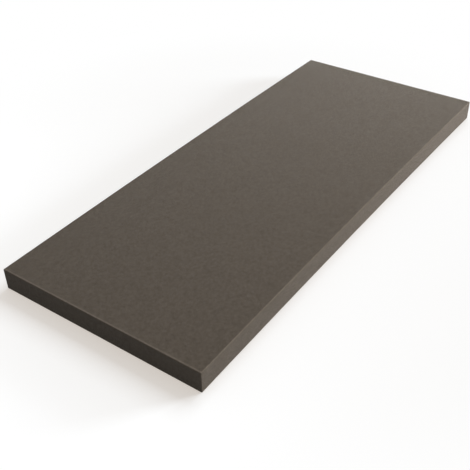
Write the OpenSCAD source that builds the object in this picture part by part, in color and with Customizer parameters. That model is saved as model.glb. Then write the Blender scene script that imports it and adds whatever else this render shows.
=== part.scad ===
/* [Pad] */
// Length of the pad, along the bench
pad_length = 1200; // [300:10:2000]
// Width of the pad, from the front of the seat to the back
pad_width = 500; // [200:10:1000]
// Thickness of the foam
pad_thickness = 50; // [20:1:150]

/* [Cut edges] */
// Radius to which the knife-cut edges and corners of the soft foam relax
edge_radius = 2; // [0.5:0.5:8]

/* [Hidden] */
$fn = 64;
// Warm grey-brown of the bare foam
foam_colour = "#5f5850";

// Rectangle about its own centre, with its four corners rounded
module rounded_rectangle(wide, high, radius) {
    straight_wide = wide - 2 * radius;
    straight_high = high - 2 * radius;
    square([wide, straight_high], center = true);
    square([straight_wide, high], center = true);
    for (side = [-1, 1], end = [-1, 1])
        translate([side * straight_wide / 2, end * straight_high / 2])
            circle(r = radius);
}

// The pad's outline seen from above, through its thickness
module outline_from_above() {
    linear_extrude(height = pad_thickness, center = true)
        rounded_rectangle(pad_length, pad_width, edge_radius);
}

// The pad's long side seen from the front, through its width
module outline_from_front() {
    rotate([90, 0, 0])
        linear_extrude(height = pad_width, center = true)
            rounded_rectangle(pad_length, pad_thickness, edge_radius);
}

// The pad's short side seen from its end, through its length
module outline_from_end() {
    rotate([90, 0, 90])
        linear_extrude(height = pad_length, center = true)
            rounded_rectangle(pad_width, pad_thickness, edge_radius);
}

// One block of open-cell foam: what its three outlines have in common, lying on its underside
module foam_slab() {
    color(foam_colour)
        translate([0, 0, pad_thickness / 2])
            intersection() {
                outline_from_above();
                outline_from_front();
                outline_from_end();
            }
}

foam_slab();
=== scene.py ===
from math import cos, radians, sin

import bpy
import numpy as np
from mathutils import Matrix, Vector, noise


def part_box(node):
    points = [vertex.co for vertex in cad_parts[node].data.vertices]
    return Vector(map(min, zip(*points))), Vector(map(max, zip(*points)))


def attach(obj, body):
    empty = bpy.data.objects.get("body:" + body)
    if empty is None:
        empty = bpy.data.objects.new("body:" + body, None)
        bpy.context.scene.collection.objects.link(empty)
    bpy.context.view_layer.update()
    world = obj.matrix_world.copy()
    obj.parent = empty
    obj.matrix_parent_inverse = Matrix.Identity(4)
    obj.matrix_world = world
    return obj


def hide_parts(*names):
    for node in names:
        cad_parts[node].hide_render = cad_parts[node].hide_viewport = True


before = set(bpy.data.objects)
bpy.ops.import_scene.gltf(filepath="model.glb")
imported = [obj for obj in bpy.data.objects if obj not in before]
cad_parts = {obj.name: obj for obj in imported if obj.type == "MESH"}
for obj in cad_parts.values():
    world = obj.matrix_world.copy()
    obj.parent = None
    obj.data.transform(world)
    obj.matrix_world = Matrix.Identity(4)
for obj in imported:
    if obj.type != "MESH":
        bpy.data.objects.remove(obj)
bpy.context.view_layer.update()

MM = 0.001
WHITE = (1, 1, 1, 1)

# Foam slab: its box, the softness of its cut edges and the grid of its mesh
LOW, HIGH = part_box("foam_slab")
SIZE = np.array(HIGH - LOW)
MIDDLE = np.array(HIGH + LOW) / 2
EDGE_RADIUS = 2 * MM
EDGE_STEPS = 3
SUPPORT = 0.8 * MM
GRID = 4 * MM

# How far the knife wandered: wavelength and depth of each unevenness and of the nibbled edges,
# and the bow of the long sides
UNEVEN = ((180 * MM, 0.5 * MM), (45 * MM, 0.15 * MM), (11 * MM, 0.06 * MM))
EDGE_NIBBLE = (14 * MM, 0.35 * MM)
BOW = 3.8 * MM

# Painted highlight along the cut edges: how strong it is on the edges, how far it reaches in from the ends,
# and how strong it is where the foam starts to be paler and where it is palest
EDGE_HIGHLIGHT = 0.62
END_HIGHLIGHT_REACH = 6.5 * MM
HIGHLIGHT_RANGE = (0.1, 0.7)

# Foam cells, pores, clumps of cells and clouding, by their size, and the finer layers of the last two
CELL = 1.1 * MM
PORE_SPACING = 2.4 * MM
CLUMP = 6.5 * MM
CLUMP_DETAIL = 2
CLOUD = 60 * MM
CLOUD_DETAIL = 3

# Where a strut starts and is full, in cells from the wall between two cells; where a pore starts and is
# full, in pore spacings from its middle; and the random draws at which a pore is closed and wide open
STRUT_RANGE = (0.30, 0.04)
PORE_RANGE = (0.38, 0.22)
PORE_CHOICE = (0.5, 1.0)

# Linear colours of the foam: inside its open cells, darkened there as painted shade, on the struts between
# them, and the painted highlight along its cut edges
SHADED_CAVITY_COLOUR = (0.0665, 0.0545, 0.0425, 1)
STRUT_COLOUR = (0.137, 0.113, 0.089, 1)
HIGHLIGHT_COLOUR = (0.215, 0.182, 0.148, 1)

# What makes the foam paler: at 0 it has the first of these colours, at 1 the second and at 2 the third
BASE_PALENESS = -0.155
STRUT_PALENESS = 0.4
CLUMP_PALENESS = 0.85
CLOUD_PALENESS = 0.08
# The pores are darkened as painted shade
PORE_SHADE_PALENESS = -0.3
# The paleness of the painted highlight along the cut edges
HIGHLIGHT_PALENESS = 1.0
MOST_PALENESS = 2.0

# Heights of the foam's grain, in the unit that follows them
STRUT_HEIGHT = 0.18
CLUMP_HEIGHT = 0.09
PORE_HEIGHT = -0.20
HEIGHT_UNIT = MM

# Finish of the foam: dull, a little less so on its struts, with almost no gloss and a soft sheen
ROUGHNESS = 1.0
STRUT_ROUGHNESS = -0.12
SPECULAR = 0.02
SHEEN = 0.3
SHEEN_ROUGHNESS = 0.3

# Texture map: the gap between its islands
MAP_GAP = 8 * MM

# Camera that took the photograph, in the slab's frame
LENS = 59.35
SENSOR = 36
CAMERA_AZIMUTH = radians(216.13)
CAMERA_ELEVATION = radians(36.78)
CAMERA_ROLL = radians(-1.31)
CAMERA_TARGET = Vector((-0.1925, -0.0331, 0))
CAMERA_DISTANCE = 1.715

# Studio: a soft key light above the far end, a low side light on the right, and a white room,
# by the light that it gives and as the camera sees it
KEY_PLACE = Vector((1.76, -0.11, 2.26))
KEY_SIZE = 1.8
KEY_POWER = 48
SIDE_PLACE = Vector((3.2, -2.6, 0.52))
SIDE_SIZE = 1.3
SIDE_POWER = 290
ROOM_LIGHT = 0.355
ROOM_SEEN = 1.0

# Floor: what it throws back on the pad; its glow, its colour under light of 1 and how that light grows
# along X and Y, so that it is one white to the camera; and the distances from the middle between which
# its shading fades out
FLOOR_SIZE = 14
FLOOR_DROP = 0.3 * MM
FLOOR_BOUNCE = (0.50, 0.50, 0.50, 1)
FLOOR_GLOW = (0.49, 0.43, 0.37, 1)
FLOOR_COLOUR = (0.516, 0.578, 0.637)
FLOOR_LIGHT_GROWTH = (0.40, -0.16, 0)
FADE_START = 0.65
FADE_END = 1.0


# Small helpers for node trees
def add(tree, kind, inputs=(), **settings):
    """A new node with its settings, and its inputs set to values or linked to other nodes' outputs."""
    made = tree.nodes.new(kind)
    for name, value in settings.items():
        setattr(made, name, value)
    for socket, value in dict(inputs).items():
        if isinstance(value, bpy.types.NodeSocket):
            tree.links.new(value, made.inputs[socket])
        else:
            made.inputs[socket].default_value = value
    return made


def reckon(tree, operation, a, b):
    """The result of one sum on two numbers."""
    return add(tree, "ShaderNodeMath", {0: a, 1: b}, operation=operation).outputs[0]


def weighted_sum(tree, base, *parts):
    """base plus each value times its weight."""
    total = base
    for value, weight in parts:
        inputs = {0: value, 1: weight, 2: total}
        total = add(tree, "ShaderNodeMath", inputs, operation="MULTIPLY_ADD").outputs[0]
    return total


def ease(tree, value, start, end):
    """0 where the value is at start, 1 where it is at end, and smooth between them."""
    inputs = {"Value": value, "From Min": start, "From Max": end}
    return add(tree, "ShaderNodeMapRange", inputs, interpolation_type="SMOOTHSTEP").outputs[0]


def mottle(tree, place, size, detail):
    """Soft noise of one size, with so many finer layers."""
    inputs = {"Vector": place, "Scale": 1 / size, "Detail": detail}
    return add(tree, "ShaderNodeTexNoise", inputs).outputs[0]


def seen_directly(tree):
    """1 for rays that show a surface to the camera: straight, off gloss or through glass."""
    path = add(tree, "ShaderNodeLightPath")
    seen = reckon(tree, "MAXIMUM", path.outputs["Is Camera Ray"], path.outputs["Is Glossy Ray"])
    return reckon(tree, "MAXIMUM", seen, path.outputs["Is Transmission Ray"])


# Foam slab
def stations(side):
    """Lattice places along one axis: even steps on the flat, a support line, even angles round the edge."""
    flat = side / 2 - EDGE_RADIUS
    inner = flat - SUPPORT
    steps = round(2 * inner / GRID)
    outer = flat + EDGE_RADIUS * np.tan(np.linspace(0, np.pi / 4, EDGE_STEPS + 1))
    return np.concatenate([-outer[::-1], np.linspace(-inner, inner, steps + 1), outer])


def map_corners():
    """The corner of each side's island on the texture map, as (axis, end): (u, v), in metres."""
    width, thickness = SIZE[1:]
    rows = np.cumsum([0, width, width, thickness, thickness]) + MAP_GAP * np.arange(1, 6)
    return {
        (2, 1): (MAP_GAP, rows[0]),
        (2, 0): (MAP_GAP, rows[1]),
        (1, 1): (MAP_GAP, rows[2]),
        (1, 0): (MAP_GAP, rows[3]),
        (0, 1): (MAP_GAP, rows[4]),
        (0, 0): (2 * MAP_GAP + width, rows[4]),
    }


def lattice():
    """A box-shaped lattice's surface: its points, quads and the quads' places on the texture map."""
    lines = [stations(side) for side in SIZE]
    shell = np.ones([len(line) for line in lines], bool)
    shell[1:-1, 1:-1, 1:-1] = False
    number = np.full(shell.shape, -1)
    number[shell] = np.arange(shell.sum())
    points = np.stack([line[at] for line, at in zip(lines, np.nonzero(shell))], axis=1)
    map_side = SIZE[0] + 2 * MAP_GAP
    quads = []
    maps = []
    for (axis, end), corner in map_corners().items():
        sheet = np.take(number, -end, axis=axis)
        ring = np.stack([sheet[:-1, :-1], sheet[1:, :-1], sheet[1:, 1:], sheet[:-1, 1:]], axis=-1)
        ring = ring.reshape(-1, 4)
        if (end == 0) != (axis == 1):
            ring = ring[:, ::-1]
        across = [other for other in range(3) if other != axis]
        quads.append(ring)
        maps.append((points[ring][:, :, across] + SIZE[across] / 2 + corner) / map_side)
    return points, np.concatenate(quads), np.concatenate(maps)


def bite(place, wave, depth):
    """How deep an unevenness of one wavelength and depth goes at a place, in metres."""
    return depth * (1 + noise.noise(place / wave)) / 2


def cut_slab(points):
    """The slab's points with soft edges and the knife's unevenness, and the painted edge highlight on each.
    """
    half = SIZE / 2
    core = np.clip(points, EDGE_RADIUS - half, half - EDGE_RADIUS)
    reach = points - core
    normals = reach / np.linalg.norm(reach, axis=1, keepdims=True)
    edge = np.sort(np.abs(reach), axis=1)[:, 1] / np.abs(reach).max(axis=1)
    places = core + EDGE_RADIUS * normals

    spots = [Vector(place) for place in places]
    cut = np.array([sum(bite(spot, *waves) for waves in UNEVEN) for spot in spots])
    nibble = np.array([bite(spot, *EDGE_NIBBLE) for spot in spots])
    # The underside lies flat on what carries it, so it keeps its height
    lifted = 1 + np.minimum(normals[:, 2], 0)
    places -= normals * ((cut + nibble * edge) * lifted)[:, None]

    # Both long sides bow the same way: half of it towards +Y at the middle, and half of it back at the ends
    along = places[:, 0] / half[0]
    places[:, 1] += BOW * (1 / 2 - along ** 2)

    # Painted highlight: along every edge, and on the top and bottom fading in from the short ends
    from_end = half[0] - np.abs(points[:, 0])
    end = np.clip(1 - from_end / END_HIGHLIGHT_REACH, 0, 1) * np.abs(normals[:, 2])
    return places + MIDDLE, np.maximum(EDGE_HIGHLIGHT * edge, end)


def foam_pad():
    """The visible pad, one closed mesh with its own texture map and with the painted edge highlight on each
    point.
    """
    points, quads, maps = lattice()
    places, edge_highlight = cut_slab(points)
    mesh = bpy.data.meshes.new("foam_pad")
    mesh.from_pydata(places.tolist(), [], quads.tolist())
    mesh.uv_layers.new(name="OFBake").uv.foreach_set("vector", maps.astype(np.float32).ravel())
    mesh.attributes.new("edge_highlight", "FLOAT", "POINT").data.foreach_set("value", edge_highlight.astype(np.float32))
    mesh.polygons.foreach_set("use_smooth", np.ones(len(quads), bool))
    pad = bpy.data.objects.new("foam_pad", mesh)
    bpy.context.collection.objects.link(pad)
    return pad


def foam_material():
    """Open-cell foam: a cut through round cells, paler struts, a few larger pores, painted shade in the
    cells and pores, and a painted highlight along the cut edges.
    """
    material = bpy.data.materials.new("open_cell_foam")
    material.use_nodes = True
    tree = material.node_tree
    place = add(tree, "ShaderNodeTexCoord").outputs["Object"]

    inputs = {"Vector": place, "Scale": 1 / CELL}
    cells = add(tree, "ShaderNodeTexVoronoi", inputs, feature="DISTANCE_TO_EDGE")
    strut = ease(tree, cells.outputs["Distance"], *STRUT_RANGE)
    pores = add(tree, "ShaderNodeTexVoronoi", {"Vector": place, "Scale": 1 / PORE_SPACING})
    hollow = ease(tree, pores.outputs["Distance"], *PORE_RANGE)
    draw = add(tree, "ShaderNodeSeparateColor", {"Color": pores.outputs["Color"]}).outputs["Red"]
    pore = reckon(tree, "MULTIPLY", hollow, ease(tree, draw, *PORE_CHOICE))
    clump = mottle(tree, place, CLUMP, CLUMP_DETAIL)
    cloud = mottle(tree, place, CLOUD, CLOUD_DETAIL)
    # Painted highlight along the cut edges, as the mesh carries it
    edge_highlight = add(tree, "ShaderNodeAttribute", attribute_name="edge_highlight").outputs["Fac"]
    highlighted = ease(tree, edge_highlight, *HIGHLIGHT_RANGE)

    paleness = weighted_sum(
        tree,
        BASE_PALENESS,
        (strut, STRUT_PALENESS),
        (clump, CLUMP_PALENESS),
        (cloud, CLOUD_PALENESS),
        (pore, PORE_SHADE_PALENESS),
        (highlighted, HIGHLIGHT_PALENESS),
    )
    # At its darkest the ramp paints shade into the cell hollows and pores
    colour = add(tree, "ShaderNodeValToRGB", {"Fac": reckon(tree, "DIVIDE", paleness, MOST_PALENESS)})
    stops = colour.color_ramp.elements
    stops.new(1 / MOST_PALENESS)
    for stop, tone in zip(stops, (SHADED_CAVITY_COLOUR, STRUT_COLOUR, HIGHLIGHT_COLOUR)):
        stop.color = tone
    height = weighted_sum(tree, 0.0, (strut, STRUT_HEIGHT), (clump, CLUMP_HEIGHT), (pore, PORE_HEIGHT))
    bump = add(tree, "ShaderNodeBump", {"Height": height, "Distance": HEIGHT_UNIT})
    dullness = weighted_sum(tree, ROUGHNESS, (strut, STRUT_ROUGHNESS))

    shader = tree.nodes["Principled BSDF"]
    tree.links.new(colour.outputs["Color"], shader.inputs["Base Color"])
    tree.links.new(dullness, shader.inputs["Roughness"])
    tree.links.new(bump.outputs["Normal"], shader.inputs["Normal"])
    shader.inputs["Specular IOR Level"].default_value = SPECULAR
    shader.inputs["Sheen Weight"].default_value = SHEEN
    shader.inputs["Sheen Roughness"].default_value = SHEEN_ROUGHNESS
    return material


# Studio
def floor():
    """White floor: plain in the light it throws back, bright to the camera, dark in the pad's shade."""
    bpy.ops.mesh.primitive_plane_add(size=FLOOR_SIZE, location=(0, 0, LOW.z - FLOOR_DROP))
    plane = bpy.context.object
    plane.name = "studio_floor"
    material = bpy.data.materials.new("studio_floor")
    material.use_nodes = True
    tree = material.node_tree
    tree.nodes.remove(tree.nodes["Principled BSDF"])
    place = add(tree, "ShaderNodeTexCoord").outputs["Object"]
    growth = add(tree, "ShaderNodeVectorMath", {0: place, 1: FLOOR_LIGHT_GROWTH}, operation="DOT_PRODUCT")
    evenness = reckon(tree, "DIVIDE", 1.0, reckon(tree, "ADD", 1.0, growth.outputs["Value"]))
    colour = add(tree, "ShaderNodeVectorMath", {0: FLOOR_COLOUR, "Scale": evenness}, operation="SCALE")
    distance = add(tree, "ShaderNodeVectorMath", {0: place}, operation="LENGTH").outputs["Value"]

    bounce = add(tree, "ShaderNodeBsdfDiffuse", {"Color": FLOOR_BOUNCE})
    shaded = add(tree, "ShaderNodeBsdfDiffuse", {"Color": colour.outputs[0]})
    glow = add(tree, "ShaderNodeEmission", {"Color": FLOOR_GLOW})
    white = add(tree, "ShaderNodeEmission", {"Color": WHITE})
    close = add(tree, "ShaderNodeAddShader", {0: shaded.outputs[0], 1: glow.outputs[0]})
    faded = ease(tree, distance, FADE_START, FADE_END)
    shown = add(tree, "ShaderNodeMixShader", {0: faded, 1: close.outputs[0], 2: white.outputs[0]})
    inputs = {0: seen_directly(tree), 1: bounce.outputs[0], 2: shown.outputs[0]}
    surface = add(tree, "ShaderNodeMixShader", inputs)
    tree.links.new(surface.outputs[0], tree.nodes["Material Output"].inputs["Surface"])
    plane.data.materials.append(material)
    return plane


def room():
    """Soft light from all round, white where the camera sees it."""
    world = bpy.data.worlds.new("studio")
    world.use_nodes = True
    tree = world.node_tree
    inputs = {"Value": seen_directly(tree), "To Min": ROOM_LIGHT, "To Max": ROOM_SEEN}
    strength = add(tree, "ShaderNodeMapRange", inputs).outputs[0]
    background = tree.nodes["Background"]
    background.inputs["Color"].default_value = WHITE
    tree.links.new(strength, background.inputs["Strength"])
    bpy.context.scene.world = world


def soft_light(name, place, size, power):
    """A square soft light that faces the pad."""
    light = bpy.data.lights.new(name, "AREA")
    light.size = size
    light.energy = power
    lamp = bpy.data.objects.new(name, light)
    lamp.location = place
    lamp.rotation_euler = place.to_track_quat("Z", "Y").to_euler()
    lamp.visible_camera = False
    bpy.context.collection.objects.link(lamp)


def camera():
    """The camera at the photograph's place, lens and tilt."""
    data = bpy.data.cameras.new("photo_camera")
    data.lens = LENS
    data.sensor_width = SENSOR
    level = cos(CAMERA_ELEVATION)
    back = Vector((level * cos(CAMERA_AZIMUTH), level * sin(CAMERA_AZIMUTH), sin(CAMERA_ELEVATION)))
    right = Vector((0, 0, 1)).cross(back).normalized()
    turned = Matrix.Rotation(CAMERA_ROLL, 3, back) @ Matrix((right, back.cross(right), back)).transposed()
    eye = bpy.data.objects.new("photo_camera", data)
    eye.matrix_world = Matrix.Translation(CAMERA_TARGET + CAMERA_DISTANCE * back) @ turned.to_4x4()
    bpy.context.collection.objects.link(eye)
    bpy.context.scene.camera = eye


bpy.context.scene.view_settings.view_transform = "Standard"
camera()
room()
soft_light("key_light", KEY_PLACE, KEY_SIZE, KEY_POWER)
soft_light("side_light", SIDE_PLACE, SIDE_SIZE, SIDE_POWER)
floor()

pad = foam_pad()
pad.data.materials.append(foam_material())
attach(pad, "root")
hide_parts("foam_slab")
